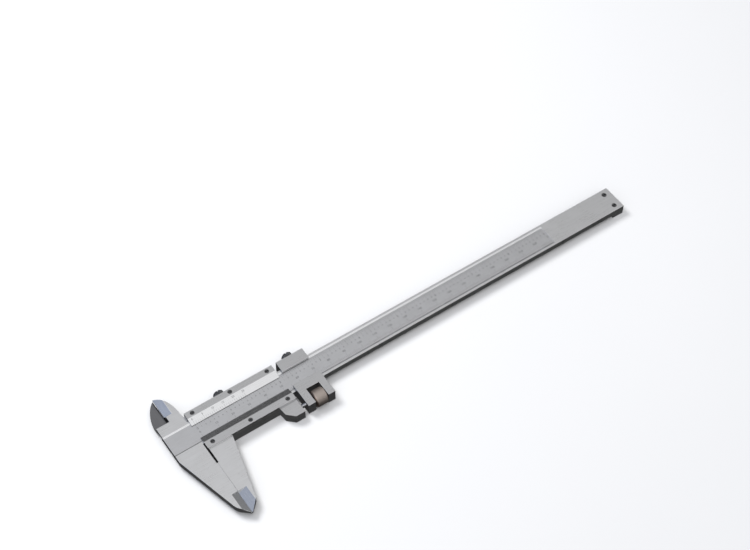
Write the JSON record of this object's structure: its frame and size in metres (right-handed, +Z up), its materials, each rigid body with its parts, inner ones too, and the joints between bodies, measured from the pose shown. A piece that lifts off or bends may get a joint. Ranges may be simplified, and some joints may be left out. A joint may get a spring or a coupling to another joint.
{
  "type": "vernier caliper",
  "caption": "Vernier caliper with outside jaws, crossing inside blades, a depth rod and a fine-adjustment carriage with a knurled thumb nut.",
  "frame": {"origin": "on the flat that the caliper rests on, where the outside jaws' measuring plane crosses the beam's centreline", "axes": "+X along the beam, the way the slider opens; +Y towards the inside blades; +Z up, out of the scale face"},
  "size_m": [0.2979, 0.0861, 0.0097],
  "materials": {
    "satin_chrome": "satin",
    "ground_steel": "ground",
    "black_screw": "black oxide",
    "bright_knob": "polished",
    "nut_metal": "knurled",
    "spring_bronze": "satin"
  },
  "bodies": {
    "beam": {"beam": "satin_chrome", "end_stop_plate": "satin_chrome", "end_stop_screws": "black_screw"},
    "slider": {"slider_frame": "satin_chrome", "upper_vernier_plate": "satin_chrome", "lower_vernier_plate": "satin_chrome", "upper_plate_screws": "black_screw", "lower_plate_screws": "black_screw", "slider_gib_strip": "spring_bronze", "slider_gib_screws": "black_screw", "adjusting_rod": "ground_steel", "rod_cross_pin": "ground_steel", "depth_rod": "ground_steel", "depth_rod_rivets": "ground_steel"},
    "slider_lock": {"slider_lock_screw": "bright_knob"},
    "carriage": {"fine_adjust_carriage": "satin_chrome", "carriage_gib_strip": "spring_bronze"},
    "carriage_lock": {"carriage_lock_screw": "bright_knob"},
    "nut": {"thumb_nut": "nut_metal"}
  },
  "joints": [
    {"name": "slider_travel", "type": "slide", "parent": "beam", "child": "slider", "axis": [1, 0, 0], "range_m": [0, 0.2]},
    {"name": "fine_adjust", "type": "slide", "parent": "slider", "child": "carriage", "axis": [1, 0, 0], "range_m": [-0.0022, 0.0007]},
    {"name": "thumb_nut_turn", "type": "hinge", "parent": "carriage", "child": "nut", "pos_m": [0.0653, -0.01695, 0.00485], "axis": [1, 0, 0], "range_deg": [-1585, 505]},
    {"name": "slider_lock_turn", "type": "hinge", "parent": "slider", "child": "slider_lock", "pos_m": [0.0224, 0.0124, 0.0034], "axis": [0, 1, 0], "range_deg": [-180, 360]},
    {"name": "carriage_lock_turn", "type": "hinge", "parent": "carriage", "child": "carriage_lock", "pos_m": [0.0653, 0.0124, 0.0034], "axis": [0, 1, 0], "range_deg": [-180, 360]}
  ],
  "couplings": [
    {"joint": "thumb_nut_turn", "follows": "fine_adjust", "rad_per_m": 12566}
  ]
}
